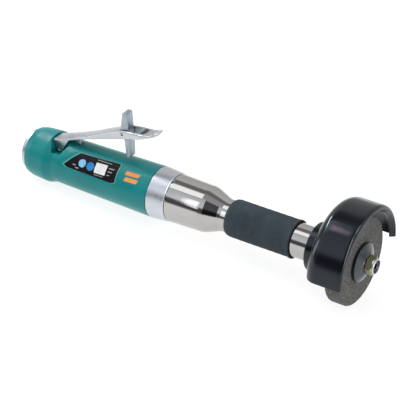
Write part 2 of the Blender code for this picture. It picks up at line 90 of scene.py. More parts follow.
class Nodes:
    """Short names for building the node tree of a material, or of the world."""

    def __init__(self, owner, shader="Principled BSDF", coords="Object"):
        self.owner = owner
        self.owner.use_nodes = True
        self.tree = owner.node_tree
        self.shader = self.tree.nodes[shader]
        self.coords = self.add("ShaderNodeTexCoord").outputs[coords]

    def add(self, kind, sockets=None, **settings):
        node = self.tree.nodes.new(kind)
        for key, value in settings.items():
            setattr(node, key, value)
        for socket, value in (sockets or {}).items():
            self.put(node, socket, value)
        return node

    def put(self, node, socket, value):
        """Links an output, or sets a number or a colour, on an input."""
        target = node.inputs[socket]
        if hasattr(value, "is_output"):
            self.tree.links.new(value, target)
        elif target.type == "RGBA":
            target.default_value = (*value, 1.0)
        else:
            target.default_value = value

    def scaled(self, scale):
        return self.add("ShaderNodeMapping", {"Vector": self.coords, "Scale": scale}).outputs["Vector"]

    def noise(self, scale, detail=3.0, rough=0.5, vector=None, distortion=0.0):
        sockets = {"Vector": vector or self.coords, "Scale": scale, "Detail": detail, "Roughness": rough}
        return self.add("ShaderNodeTexNoise", {**sockets, "Distortion": distortion}).outputs["Fac"]

    def cells(self, scale, output="Distance"):
        return self.add("ShaderNodeTexVoronoi", {"Vector": self.coords, "Scale": scale}).outputs[output]

    def remap(self, value, low=0.3, high=0.7, to_low=0.0, to_high=1.0, **settings):
        sockets = {"Value": value, "From Min": low, "From Max": high, "To Min": to_low, "To Max": to_high}
        return self.add("ShaderNodeMapRange", sockets, **settings).outputs["Result"]

    def maths(self, operation, first, second):
        return self.add("ShaderNodeMath", {0: first, 1: second}, operation=operation).outputs[0]

    def ramp(self, value, stops):
        node = self.add("ShaderNodeValToRGB", {"Fac": value})
        band = node.color_ramp
        while len(band.elements) < len(stops):
            band.elements.new(0.5)
        for element, (place, color) in zip(band.elements, stops):
            element.position = place
            element.color = (*color, 1.0)
        return node.outputs["Color"]

    def blend(self, factor, first, second):
        return self.add("ShaderNodeMix", {0: factor, 6: first, 7: second}, data_type="RGBA").outputs[2]

    def bump(self, height, distance, strength=1.0, below=None):
        node = self.add("ShaderNodeBump", {"Height": height, "Distance": distance, "Strength": strength})
        if below is not None:
            self.put(node, "Normal", below)
        return node.outputs["Normal"]

    def finish(self, color, roughness, normal=None, **constants):
        self.put(self.shader, "Base Color", color)
        self.put(self.shader, "Roughness", roughness)
        if normal is not None:
            self.put(self.shader, "Normal", normal)
        for name, value in constants.items():
            self.put(self.shader, name.replace("_", " "), value)
        return self.owner


def new_look(name):
    return Nodes(bpy.data.materials.new(name))


def enamel(name, base, shade, scale=40.0, roughness=0.3, peel=0.00004, gloss=0.5, tint=WHITE):
    """Painted casting: orange peel, slow colour drift, fine dust and rubbed patches."""
    n = new_look(name)
    drift = n.remap(n.noise(scale, 4.0), 0.35, 0.65)
    color = n.blend(drift, base, shade)
    speck = n.remap(n.cells(900.0), 0.0, 0.12, 1.0, 0.0)
    sparse = n.remap(n.noise(150.0, 2.0), 0.6, 0.7)
    dust = n.maths("MULTIPLY", n.maths("MULTIPLY", speck, sparse), 0.35)
    pale = tuple(min(1.0, c * 1.6 + 0.05) for c in base)
    color = n.blend(dust, color, pale)
    smear = n.remap(n.noise(18.0, 5.0, 0.6), 0.3, 0.7, roughness - 0.05, roughness + 0.1)
    fine = n.noise(700.0, 2.0)
    skin = n.bump(fine, peel, 0.5, n.bump(n.noise(160.0, 1.0), peel * 3, 0.4))
    return n.finish(color, smear, skin, Specular_IOR_Level=gloss, Specular_Tint=tint)


def turned_metal(name, base, shade, roughness, ring=0.00001, ring_scale=900.0, spread=0.08):
    """Lathe-turned metal: fine rings across the spindle axis and handling marks."""
    n = new_look(name)
    rings = n.noise(ring_scale, 2.0, 0.7, n.scaled((1.0, 0.02, 0.02)))
    patch = n.remap(n.noise(30.0, 5.0, 0.6))
    color = n.blend(patch, base, shade)
    marks = n.remap(n.noise(90.0, 6.0, 0.65, None, 0.6), 0.35, 0.7, 0.0, spread)
    streak = n.remap(rings, 0.3, 0.7, roughness - spread * 0.4, roughness + spread * 0.6)
    rough = n.maths("ADD", streak, marks)
    return n.finish(color, rough, n.bump(rings, ring, 0.6), Metallic=1.0)


def faced_metal(name, base, shade, roughness):
    """Metal faced on a lathe: grooves round the spindle axis fan the light out."""
    n = new_look(name)
    patch = n.remap(n.noise(60.0, 5.0, 0.6))
    color = n.blend(patch, base, shade)
    rough = n.remap(n.noise(180.0, 4.0, 0.6), 0.35, 0.7, roughness - 0.06, roughness + 0.08)
    grooves = n.add("ShaderNodeTangent", direction_type="RADIAL", axis="X")
    n.put(n.shader, "Tangent", grooves.outputs["Tangent"])
    skin = n.bump(n.noise(500.0, 3.0, 0.6), 0.000003, 0.5)
    return n.finish(color, rough, skin, Metallic=1.0, Anisotropic=0.3)


def cast_metal(name, base, shade, roughness, grain=0.000002):
    """Tumbled casting: soft grain and a cloudy polish."""
    n = new_look(name)
    cloud = n.remap(n.noise(60.0, 5.0, 0.6))
    color = n.blend(cloud, base, shade)
    rough = n.remap(n.noise(130.0, 4.0), 0.3, 0.7, roughness - 0.08, roughness + 0.1)
    fine = n.noise(1400.0, 3.0, 0.6)
    coarse = n.noise(240.0, 3.0, 0.6)
    skin = n.bump(fine, grain, 0.4, n.bump(coarse, grain * 6, 0.4))
    return n.finish(color, rough, skin, Metallic=1.0)


def rubber(name, base, shade, roughness, grain=0.00006, scale=900.0):
    n = new_look(name)
    cloud = n.remap(n.noise(45.0, 5.0, 0.65))
    color = n.blend(cloud, base, shade)
    speck = n.remap(n.noise(600.0, 2.0), 0.62, 0.75, 0.0, 0.35)
    color = n.blend(speck, color, tuple(c * 2.2 + 0.01 for c in base))
    pits = n.cells(scale)
    skin = n.bump(pits, grain, 0.6, n.bump(n.noise(260.0, 3.0), grain, 0.5))
    rough = n.remap(n.noise(70.0, 4.0), 0.3, 0.7, roughness - 0.08, roughness + 0.08)
    return n.finish(color, rough, skin, Specular_IOR_Level=0.06)


def abrasive(name):
    """Bonded grit: packed angular grains, some bright, and pores darkened with painted shade."""
    n = new_look(name)
    grains = n.cells(1500.0, "Color")
    split = n.add("ShaderNodeSeparateColor", {"Color": grains})
    tone = n.ramp(split.outputs["Red"], [
        (0.0, (0.04, 0.039, 0.037)), (0.45, (0.09, 0.088, 0.084)), (0.8, (0.14, 0.137, 0.131)),
        (1.0, (0.27, 0.265, 0.255)),
    ])
    # Dark patches where the noise is low stand for the pores: painted shade in the hollows of the wheel.
    pore_shade = n.remap(n.noise(620.0, 4.0, 0.7), 0.33, 0.45)
    color = n.blend(pore_shade, (0.05, 0.047, 0.045), tone)
    stain = n.remap(n.noise(38.0, 4.0, 0.6), 0.35, 0.7, 0.0, 0.5)
    color = n.blend(stain, color, (0.085, 0.078, 0.07))
    depth = n.cells(1500.0)
    skin = n.bump(depth, 0.00025, 0.8, n.bump(n.noise(420.0, 4.0, 0.7), 0.0004, 0.7))
    rough = n.remap(split.outputs["Green"], 0.0, 1.0, 0.75, 1.0)
    return n.finish(color, rough, skin)


def plain_ink(name, base, shade, roughness=0.4):
    """Printed ink on film: a faint mottle and grain."""
    n = new_look(name)
    color = n.blend(n.remap(n.noise(260.0, 4.0), 0.35, 0.65), base, shade)
    rough = n.remap(n.noise(120.0, 3.0), 0.3, 0.7, roughness - 0.06, roughness + 0.06)
    return n.finish(color, rough, n.bump(n.noise(1800.0, 2.0), 0.00001, 0.5), Specular_IOR_Level=0.1)


LOOKS = {
    "teal_enamel": enamel("look_teal", (0.0, 0.205, 0.21), (0.002, 0.235, 0.235), gloss=0.3),
    "satin_aluminium": turned_metal("look_satin", (0.62, 0.64, 0.69), (0.52, 0.54, 0.59), 0.32,
                                    0.00002, 1400.0),
    "polished_steel": turned_metal("look_polished", (0.47, 0.46, 0.45), (0.42, 0.41, 0.4), 0.07,
                                   0.000001, spread=0.03),
    "ground_steel": turned_metal("look_ground", (0.42, 0.43, 0.45), (0.34, 0.35, 0.37), 0.32),
    "cast_aluminium": cast_metal("look_cast", (0.56, 0.58, 0.6), (0.43, 0.45, 0.47), 0.3),
    "zinc_lock": cast_metal("look_zinc", (0.38, 0.44, 0.49), (0.31, 0.36, 0.41), 0.42),
    "black_enamel": enamel("look_black", (0.002, 0.0025, 0.004), (0.003, 0.004, 0.007), 30.0, 0.16,
                           0.00002, tint=(0.78, 0.88, 1.0)),
    "slate_rubber": rubber("look_rubber", (0.036, 0.048, 0.057), (0.062, 0.08, 0.094), 0.8),
    "abrasive": abrasive("look_abrasive"),
    "yellow_zinc": turned_metal("look_yellow_zinc", (0.42, 0.4, 0.25), (0.5, 0.49, 0.37), 0.42, spread=0.12),
    "brass": turned_metal("look_brass", (0.6, 0.42, 0.16), (0.5, 0.34, 0.13), 0.3),
    "felt": rubber("look_felt", (0.3, 0.28, 0.25), (0.36, 0.34, 0.31), 0.95, 0.0003, 500.0),
    "phenolic": rubber("look_phenolic", (0.11, 0.055, 0.028), (0.14, 0.075, 0.04), 0.6),
    "nitrile": rubber("look_nitrile", (0.01, 0.01, 0.01), (0.016, 0.016, 0.016), 0.6),
    "label_black": plain_ink("look_label", (0.004, 0.004, 0.006), (0.009, 0.009, 0.012), 0.45),
    "burnished": turned_metal("look_burnished", (0.09, 0.1, 0.105), (0.055, 0.062, 0.068), 0.28),
    "faced": faced_metal("look_faced", (0.105, 0.116, 0.123), (0.065, 0.073, 0.08), 0.2),
    "ink_blue": plain_ink("ink_blue", (0.03, 0.2, 0.5), (0.05, 0.25, 0.56)),
    "ink_pale_blue": plain_ink("ink_pale_blue", (0.2, 0.48, 0.75), (0.3, 0.56, 0.82)),
    "ink_white": plain_ink("ink_white", (0.8, 0.78, 0.79), (0.87, 0.85, 0.86)),
    "ink_grey": plain_ink("ink_grey", (0.3, 0.3, 0.3), (0.4, 0.4, 0.4)),
    "ink_orange": plain_ink("ink_orange", (0.86, 0.3, 0.07), (0.9, 0.38, 0.13)),
    "ink_border": plain_ink("ink_border", (0.12, 0.36, 0.34), (0.16, 0.42, 0.4)),
}

# ---- shape helpers

def rounded(outline, radius, closed=True, steps=4):
    """The outline with each corner turned into an arc, shrunk where its sides are short."""
    points = [Vector(point) for point in outline]
    count = len(points)
    result = []
    for i, corner in enumerate(points):
        if not closed and i in (0, count - 1):
            result.append(tuple(corner))
            continue
        before = points[i - 1] - corner
        after = points[(i + 1) % count] - corner
        half = 0.5 * before.angle(after)
        reach = min(radius / math.tan(half), 0.48 * before.length, 0.48 * after.length)
        if half > math.radians(87):
            result.append(tuple(corner))
            continue
        start = corner + before.normalized() * reach
        end = corner + after.normalized() * reach
        for j in range(steps + 1):
            t = j / steps
            # A quadratic through the corner stays inside both sides.
            point = start * (1 - t) ** 2 + corner * 2 * t * (1 - t) + end * t ** 2
            result.append(tuple(point))
    return result


def arc(center, radius, start, end, count):
    """Points of an arc, in degrees, from start to end."""
    points = []
    for i in range(count + 1):
        angle = math.radians(start + (end - start) * i / count)
        points.append((center[0] + radius * math.cos(angle), center[1] + radius * math.sin(angle)))
    return points


def dense(outline, longest, closed=True):
    """The outline with its long sides divided."""
    result = []
    count = len(outline)
    for i in range(count if closed else count - 1):
        start = Vector(outline[i])
        end = Vector(outline[(i + 1) % count])
        parts = max(1, math.ceil((end - start).length / longest))
        result += [tuple(start.lerp(end, j / parts)) for j in range(parts)]
    if not closed:
        result.append(tuple(outline[-1]))
    return result


def curve_through(points):
    """A smooth function of the first coordinate through points in rising order."""
    def slope(i):
        low = points[max(i - 1, 0)]
        high = points[min(i + 1, len(points) - 1)]
        return (high[1] - low[1]) / (high[0] - low[0])

    def value(x):
        x = min(max(x, points[0][0]), points[-1][0])
        i = 0
        while i < len(points) - 2 and x > points[i + 1][0]:
            i += 1
        (x0, y0), (x1, y1) = points[i], points[i + 1]
        width = x1 - x0
        t = (x - x0) / width
        return ((2 * t ** 3 - 3 * t ** 2 + 1) * y0 + (t ** 3 - 2 * t ** 2 + t) * width * slope(i)
                + (3 * t ** 2 - 2 * t ** 3) * y1 + (t ** 3 - t ** 2) * width * slope(i + 1))

    return value


def line_through(points):
    """A function of the first coordinate that joins the points with straight lines."""
    def value(x):
        x = min(max(x, points[0][0]), points[-1][0])
        for (x0, y0), (x1, y1) in zip(points, points[1:]):
            if x <= x1:
                return y0 + (y1 - y0) * (x - x0) / (x1 - x0)
        return points[-1][1]

    return value


def soft_step(value, low, high):
    t = min(max((value - low) / (high - low), 0.0), 1.0)
    return t * t * (3 - 2 * t)


def spot(station, y, height):
    """A point given by its station, y and height above the spindle axis, in mm."""
    return (along(station), y * MM, AXIS_Z + height * MM)


def new_object(name, data):
    made = bpy.data.objects.new(name, data)
    bpy.context.scene.collection.objects.link(made)
    return made


def mesh_piece(name, verts, faces):
    """An unfinished piece from vertices in metres, with outward faces."""
    mesh = bpy.data.meshes.new(name)
    mesh.from_pydata(verts, [], faces)
    work = bmesh.new()
    work.from_mesh(mesh)
    bmesh.ops.remove_doubles(work, verts=work.verts, dist=0.002 * MM)
    bmesh.ops.recalc_face_normals(work, faces=work.faces)
    work.to_mesh(mesh)
    work.free()
    return new_object(name, mesh)


def lathe(name, outline, steps=160, place=None, relief=None):
    """A turned shape from (depth, radius) points, closed on itself or on the axis.

    place(depth, across, up) puts a point into the frame. Without it the shape turns
    about the spindle, with stations as depths. relief(depth, radius, angle) is added
    to each radius.
    """
    place = place or spot
    verts = []
    rings = []
    for depth, radius in outline:
        if radius == 0.0:
            rings.append([len(verts)] * steps)
            verts.append(place(depth, 0.0, 0.0))
            continue
        rings.append(list(range(len(verts), len(verts) + steps)))
        for i in range(steps):
            angle = 2 * math.pi * i / steps
            grown = radius + (relief(depth, radius, angle) if relief else 0.0)
            verts.append(place(depth, grown * math.cos(angle), grown * math.sin(angle)))
    faces = []
    pairs = list(zip(rings, rings[1:]))
    if outline[0][1] != 0.0:
        pairs.append((rings[-1], rings[0]))
    for first, second in pairs:
        for i in range(steps):
            j = (i + 1) % steps
            corners = [first[i], first[j], second[j], second[i]]
            faces.append([c for k, c in enumerate(corners) if c != corners[k - 1]])
    return mesh_piece(name, verts, faces)


def ring(low, high, inner, outer):
    """For lathe: the outline of a plain ring between two depths and two radii."""
    return [(high, inner), (high, outer), (low, outer), (low, inner)]


def rod(radius, reach=30.0):
    return ring(-reach, reach, 0.0, radius)


def upright_at(station):
    """For lathe: a vertical axis through a station, depths measured as heights."""
    return lambda depth, across, up: spot(station + across, up, depth)


def crosswise_at(pivot):
    """For lathe: an axis along y through (station, height), depths measured along y."""
    return lambda depth, across, up: spot(pivot[0] + across, depth, pivot[1] + up)


def parallel_at(y, height):
    """For lathe: an axis beside the spindle's, depths measured as stations."""
    return lambda depth, across, up: spot(depth, y + across, height + up)


def inset(outline, amount):
    """A closed outline moved towards its inside by the given amount."""
    points = [Vector(point) for point in outline]
    area = sum(a.x * b.y - b.x * a.y for a, b in zip(points, points[1:] + points[:1]))
    side = 1.0 if area > 0 else -1.0
    moved = []
    for i, corner in enumerate(points):
        before = (corner - points[i - 1]).normalized()
        after = (points[(i + 1) % len(points)] - corner).normalized()
        normal_before = Vector((-before.y, before.x)) * side
        normal_after = Vector((-after.y, after.x)) * side
        middle = (normal_before + normal_after).normalized()
        moved.append(tuple(corner + middle * amount / max(0.4, middle.dot(normal_after))))
    return moved


PLANES = {
    "side": lambda a, b, depth: spot(a, depth, b),
    "plan": lambda a, b, depth: spot(a, b, depth),
    "end": lambda a, b, depth: spot(depth, a, b),
}


def slab(name, outline, low, high, plane="side", edge=0.0, steps=3):
    """An extruded outline, with its two rims rounded by edge. All in millimetres."""
    layers = [(outline, low), (outline, high)]
    if edge:
        bend = arc((0.0, 0.0), edge, 0.0, 90.0, steps)
        rim = [(inset(outline, edge - out), edge - up) for up, out in bend]
        layers = [(points, low + depth) for points, depth in rim]
        layers += [(points, high - depth) for points, depth in reversed(rim)]
    count = len(outline)
    verts = [PLANES[plane](a, b, depth) for points, depth in layers for a, b in points]
    faces = [list(range(count)), list(range(len(verts) - count, len(verts)))]
    for layer in range(len(layers) - 1):
        base = layer * count
        for i in range(count):
            j = (i + 1) % count
            faces.append([base + i, base + j, base + count + j, base + count + i])
    return mesh_piece(name, verts, faces)


def cut(target, *cutters, operation="DIFFERENCE"):
    """Cuts finished shapes from a piece, or keeps what they share."""
    for cutter in cutters:
        step = target.modifiers.new(cutter.name, "BOOLEAN")
        step.operation = operation
        step.object = cutter
        step.solver = "EXACT"
    graph = bpy.context.evaluated_depsgraph_get()
    solid = bpy.data.meshes.new_from_object(target.evaluated_get(graph))
    target.modifiers.clear()
    target.data = solid
    for cutter in cutters:
        bpy.data.objects.remove(cutter, do_unlink=True)
    return target


def finish_piece(piece, look, body, node=None, crease=32.0):
    """Shades a piece, gives it its look and ties it to a body, in place of a CAD node."""
    piece.data.materials.clear()
    piece.data.materials.append(LOOKS[look])
    piece.data.polygons.foreach_set("material_index", [0] * len(piece.data.polygons))
    piece.data.shade_smooth()
    piece.data.set_sharp_from_angle(angle=math.radians(crease))
    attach(piece, body)
    if node:
        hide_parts(node)
    return piece


# ---- handle

HOUSING_REAR, HOUSING_FRONT = span("handle_housing")
COLLAR_RADIUS = outer_radius("handle_housing")
FRONT_RADIUS = 23.0
WAIST_RADIUS = 21.2
WAIST_STATION = -298.5
COLLAR_STATION = -306.0
MOTOR_BORE = 17.6
WEB_REAR = -316.0
WEB_FRONT = -266.0
PIVOT = (station_of(LEVER_PIVOT[0]), (LEVER_PIVOT[2] - AXIS_Z) / MM)
LOCK = (station_of(LOCK_PIVOT[0]), (LOCK_PIVOT[2] - AXIS_Z) / MM)
VALVE_STATION = 0.5 * sum(span("valve_stem"))
PANEL_DEPTH = 0.4
PANEL_STATIONS = (-289.0, -202.5)
PANEL_ANGLES = (107.0, 163.0)


def skin_radius(station):
    """The handle's outer radius between its waist and its front end."""
    share = (station - WAIST_STATION) / (HOUSING_FRONT - WAIST_STATION)
    return WAIST_RADIUS + (FRONT_RADIUS - WAIST_RADIUS) * share


def panel_relief(station, radius, angle):
    """The shallow panel round the label. Its rear end slants like the label's."""
    if radius < MOTOR_BORE + 1.0 or station < WAIST_STATION:
        return 0.0
    degrees = math.degrees(angle) % 360
    slant = max(0.0, 150.0 - degrees) * 0.42
    lengthwise = soft_step(station, PANEL_STATIONS[0] + slant, PANEL_STATIONS[0] + slant + 0.9)
    lengthwise *= 1 - soft_step(station, PANEL_STATIONS[1] - 0.9, PANEL_STATIONS[1])
    sideways = soft_step(degrees, PANEL_ANGLES[0], PANEL_ANGLES[0] + 2.2)
    sideways *= 1 - soft_step(degrees, PANEL_ANGLES[1] - 2.2, PANEL_ANGLES[1])
    return -PANEL_DEPTH * lengthwise * sideways


def make_handle():
    skin = [
        (HOUSING_FRONT, FRONT_RADIUS), (WAIST_STATION, WAIST_RADIUS), (COLLAR_STATION, COLLAR_RADIUS),
        (-309.0, COLLAR_RADIUS), (-322.0, 22.6), (-327.4, 21.4), (HOUSING_REAR, 18.4),
    ]
    bore = [
        (HOUSING_REAR, 16.6), (WEB_REAR, 16.6), (WEB_REAR, 8.2), (-298.0, 8.2), (-298.0, 3.6),
        (WEB_FRONT, 3.6), (WEB_FRONT, MOTOR_BORE), (HOUSING_FRONT, MOTOR_BORE),
    ]
    outer = dense(rounded(skin + bore[:1], 1.2, closed=False), 0.9, closed=False)
    housing = lathe("handle_shell", outer + bore[1:], 240, None, panel_relief)

    wall = PIVOT[0] - 4.3
    pocket = [
        (-305.4, 30.0), (-305.4, 21.5), (wall, PIVOT[1] - 0.5), (wall, 9.6), (-295.5, 9.6), (-283.2, 25.0),
        (-283.2, 30.0),
    ]
    flare = [(-305.4, 4.6), (-305.4, 8.2), (-296.5, 22.0), (-282.0, 22.0), (-282.0, 4.6)]
    floor = [(4.6, 9.6), (8.4, 9.6), (22.0, 17.6), (22.0, 36.0), (4.6, 36.0)]
    saddle = [(-305.4, 30.0), (-305.4, 18.9), (-290.0, 18.9), (-285.0, 30.0)]
    soft_pocket = rounded(pocket, 1.4)
    cutters = []
    for side in (-1, 1):
        hollow = slab("pocket", soft_pocket, min(4.6 * side, 30.0 * side), max(4.6 * side, 30.0 * side))
        cut(hollow, slab("flare", [(station, side * y) for station, y in flare], 0.0, 40.0, "plan"),
            operation="INTERSECT")
        cutters.append(cut(hollow, slab("floor", [(side * y, z) for y, z in floor], -310.0, -280.0, "end"),
                           operation="INTERSECT"))
    cutters += [
        slab("saddle", rounded(saddle, 1.2), -5.5, 5.5),
        lathe("pin_bore", rod(1.8), 32, crosswise_at(PIVOT)),
        lathe("valve_bore", [(40.0, 0.0), (40.0, 2.9), (21.6, 2.9), (21.2, 2.5), (21.0, 2.5), (21.0, 5.2),
                             (-9.0, 5.2), (-9.0, 0.0)], 48, upright_at(VALVE_STATION)),
    ]
    cutters += [
        lathe("passage", ring(-318.0, -261.0, 0.0, 2.4), 24, parallel_at(y, -8.0))
        for y in (-11.0, 11.0)
    ]
    cut(housing, *cutters)
    return finish_piece(housing, "teal_enamel", "tool_body", "handle_housing")


# ---- label and mark

def skin_patch(name, outline, lift, thickness, look, corner=0.0):
    """A thin film on the handle: (station, degrees) points, its top lift above the panel."""
    if corner:
        outline = rounded(outline, corner)
    work = bmesh.new()
    work.faces.new([work.verts.new((station, degrees, 0.0)) for station, degrees in outline])
    step = 2.0
    low = min(degrees for _, degrees in outline)
    high = max(degrees for _, degrees in outline)
    level = math.ceil(low / step) * step
    while level < high:
        everything = list(work.verts) + list(work.edges) + list(work.faces)
        bmesh.ops.bisect_plane(work, geom=everything, dist=0.0001, plane_co=(0.0, level, 0.0),
                               plane_no=(0.0, 1.0, 0.0))
        level += step
    bmesh.ops.triangulate(work, faces=work.faces)
    grown = bmesh.ops.extrude_face_region(work, geom=list(work.faces))
    top = {item for item in grown["geom"] if isinstance(item, bmesh.types.BMVert)}
    for vert in work.verts:
        station, degrees = vert.co.x, math.radians(vert.co.y)
        radius = skin_radius(station) - PANEL_DEPTH + lift - (0.0 if vert in top else thickness)
        vert.co = spot(station, radius * math.cos(degrees), radius * math.sin(degrees))
    bmesh.ops.recalc_face_normals(work, faces=work.faces)
    mesh = bpy.data.meshes.new(name)
    work.to_mesh(mesh)
    work.free()
    return finish_piece(new_object(name, mesh), look, "tool_body", crease=45.0)


def disc(center, radius, count=40):
    """A round outline in (station, degrees), radius in millimetres."""
    per_degree = skin_radius(center[0]) * math.pi / 180
    return [(center[0] + radius * math.cos(2 * math.pi * i / count),
             center[1] + radius * math.sin(2 * math.pi * i / count) / per_degree) for i in range(count)]


def make_label():
    edge = [
        (-284.5, 155.6), (-272.0, 117.0), (-229.8, 112.0), (-229.4, 158.0), (-233.4, 161.0), (-279.7, 160.0),
    ]
    line = [
        (-286.0, 156.2), (-272.8, 115.4), (-229.0, 110.2), (-228.5, 158.8), (-233.2, 162.2), (-280.2, 161.2),
    ]
    film = 0.1
    border = skin_patch("label_border", line, 0.06, film, "ink_border", 2.4)
    plate = skin_patch("label_plate_film", edge, 0.12, film, "label_black", 2.2)
    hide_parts("label_plate")
    ink = 0.04
    top = film + 0.06
    skin_patch("label_disc_pale", disc((-266.1, 139.5), 3.7), top, ink, "ink_pale_blue")
    skin_patch("label_disc_blue", disc((-257.2, 140.5), 3.9), top, ink, "ink_blue")
    square = [(-252.5, 126.5), (-240.8, 125.0), (-240.6, 150.0), (-252.2, 151.0)]
    skin_patch("label_square", square, top, ink, "ink_white", 0.8)
    bars = [
        (-275.2, 147.0, 3.2), (-272.0, 152.4, 3.6),
        (-238.6, 129.5, 5.6), (-238.6, 137.5, 4.4), (-238.6, 145.5, 2.6),
    ]
    for i, (station, degrees, length) in enumerate(bars):
        strip = [(station, degrees), (station + length, degrees - 0.4),
                 (station + length, degrees + 2.2), (station, degrees + 2.6)]
        skin_patch("label_bar_%d" % (i + 1), strip, top, ink, "ink_grey", 0.3)
    for name, degrees, first, last in (("top", 119.0, -253.0, -238.0), ("foot", 154.2, -251.5, -242.0)):
        rule = [(first, degrees), (last, degrees - 0.5), (last, degrees + 1.1), (first, degrees + 1.6)]
        skin_patch("label_rule_" + name, rule, top, ink, "ink_grey", 0.3)
    for i, degrees in enumerate((123.0, 137.0)):
        slanted = [
            (-221.0 + i, degrees), (-206.6, degrees - 1.0), (-208.2, degrees + 8.5),
            (-222.0 + i, degrees + 9.5),
        ]
        skin_patch("mark_bar_%d" % (i + 1), slanted, 0.08, 0.06, "ink_orange", 1.6)


# ---- rear end

EXHAUST_PORTS = 10
PORT_CIRCLE = 12.4
THREAD_RADIUS = 6.35
THREAD_DEPTH = 0.55
THREAD_PITCH = 1.41
THREAD_TURNS = 12


def make_rear_end():
    rear = span("exhaust_cap")[0]
    rim = [
        (-330.0, 9.3), (-330.0, 14.8), (-318.0, 14.8), (-318.0, 16.2), (-329.4, 16.2), (-329.4, 18.6),
        (-332.2, 18.6), (rear, 17.8), (rear, 15.4), (rear + 0.4, 15.1), (rear + 0.4, 9.8), (rear, 9.3),
    ]
    cap = lathe("exhaust_cover", rounded(rim, 0.3), 160)
    port = [
        (-325.0, 0.0), (-325.0, 1.5), (rear + 0.8, 1.5), (rear - 0.2, 2.3), (rear - 4.0, 2.3),
        (rear - 4.0, 0.0),
    ]
    drills = []
    for i in range(EXHAUST_PORTS):
        angle = 2 * math.pi * (i + 0.5) / EXHAUST_PORTS
        place = parallel_at(PORT_CIRCLE * math.cos(angle), PORT_CIRCLE * math.sin(angle))
        drills.append(lathe("port", port, 28, place))
    cut(cap, *drills)
    finish_piece(cap, "satin_aluminium", "tool_body", "exhaust_cap")

    thread = []
    for i in range(THREAD_TURNS):
        station = -331.2 + i * THREAD_PITCH
        thread += [(station, THREAD_RADIUS), (station + 0.5 * THREAD_PITCH, THREAD_RADIUS - THREAD_DEPTH)]
    outline = [
        (-299.0, 4.2), (-299.0, 7.6), (-299.8, 7.9), (-317.9, 7.9), (-317.9, 8.9), (-332.4, 8.9),
        (rear, 8.3), (rear, 7.2),
    ]
    bushing = lathe("inlet_fitting", outline + thread + [(-312.6, 5.7), (-312.0, 5.7), (-312.0, 4.2)], 96)
    corner = [(-7.4, 8.0), (7.4, 8.0), (7.4, 12.0), (-7.4, 12.0)]
    flats = [slab("flat_top", corner, rear - 1.0, rear + 3.2, "end"),
             slab("flat_foot", [(y, -z) for y, z in corner], rear - 1.0, rear + 3.2, "end")]
    cut(bushing, *flats)
    finish_piece(bushing, "ground_steel", "tool_body", "inlet_bushing")


# ---- throttle lever

LEVER_REAR = -303.6
LEVER_TIP = -193.6
CHANNEL_HALF = 4.9
SHEET = 2.2
TOP_LINE = curve_through([
    (LEVER_REAR, 22.6), (-298.0, 24.5), (-286.0, 28.7), (-274.0, 33.4), (-262.0, 38.7), (-250.0, 44.4),
    (-238.0, 49.8), (-232.0, 52.0), (-226.0, 53.5), (-220.0, 54.4), (-208.0, 55.4), (-200.0, 57.6),
    (-194.2, 60.2), (LEVER_TIP, 60.3),
])
FRONT_EDGE = line_through([
    (-288.0, 24.3), (-285.5, 26.3), (-274.0, 30.6), (-252.0, 37.6), (-231.0, 44.4), (-212.0, 50.2),
    (-204.0, 53.2), (-198.0, 55.6), (-194.6, 57.4), (LEVER_TIP, 58.2),
])
HALF_WIDTH = curve_through([
    (-305.0, 7.2), (-262.0, 7.0), (-250.0, 6.8), (-238.0, 7.0), (-230.0, 7.35), (-222.0, 7.6), (-208.0, 7.8),
    (-203.0, 7.3), (-200.0, 6.6),
])
EAR_RADIUS = 3.5
EAR_ENDS = arc(PIVOT, EAR_RADIUS, -160.0, -35.0, 1)
CROWN = 0.7
DISH = 0.6
CORNER = 1.3
WEB_START = -220.5
SLOT_REAR = -234.0
SLOT_FRONT = -207.6
LOCK_BORE = 1.4


def lever_edge(station):
    """Height of the side walls' lower edge: the ears hang round the pivot at the rear."""
    if station > -288.0:
        return FRONT_EDGE(station)
    (rear, rear_foot), (front, front_foot) = EAR_ENDS
    if rear <= station <= front:
        return PIVOT[1] - math.sqrt(EAR_RADIUS ** 2 - (station - PIVOT[0]) ** 2)
    if station > front:
        return front_foot + (24.3 - front_foot) * (station - front) / (PIVOT[0] + 10.0 - front)
    return rear_foot + (20.4 - rear_foot) * (rear - station) / (rear - LEVER_REAR)


def lever_half_width(station):
    if station < -200.0:
        return HALF_WIDTH(station)
    share = (station + 200.0) / (LEVER_TIP + 200.0)
    return 6.6 * math.sqrt(max(0.04, 1.0 - share ** 2.8))


def lever_top(station, y, half):
    """Crowned along its length, with a dished and ribbed thumb pad ahead of the slot."""
    across = min(1.0, abs(y) / half)
    pad = soft_step(station, -209.0, -205.0) * (1 - soft_step(station, -198.5, -195.0))
    ribs = 0.22 * math.sin((station + 205.0) * 2 * math.pi / 2.4) * pad * (1 - across ** 4)
    rim = soft_step(station, -238.0, -230.0)
    crown = CROWN * (1 - 0.6 * rim) * across ** 2
    return TOP_LINE(station) - crown - DISH * pad * (1 - across ** 2) + ribs - 0.25 * pad


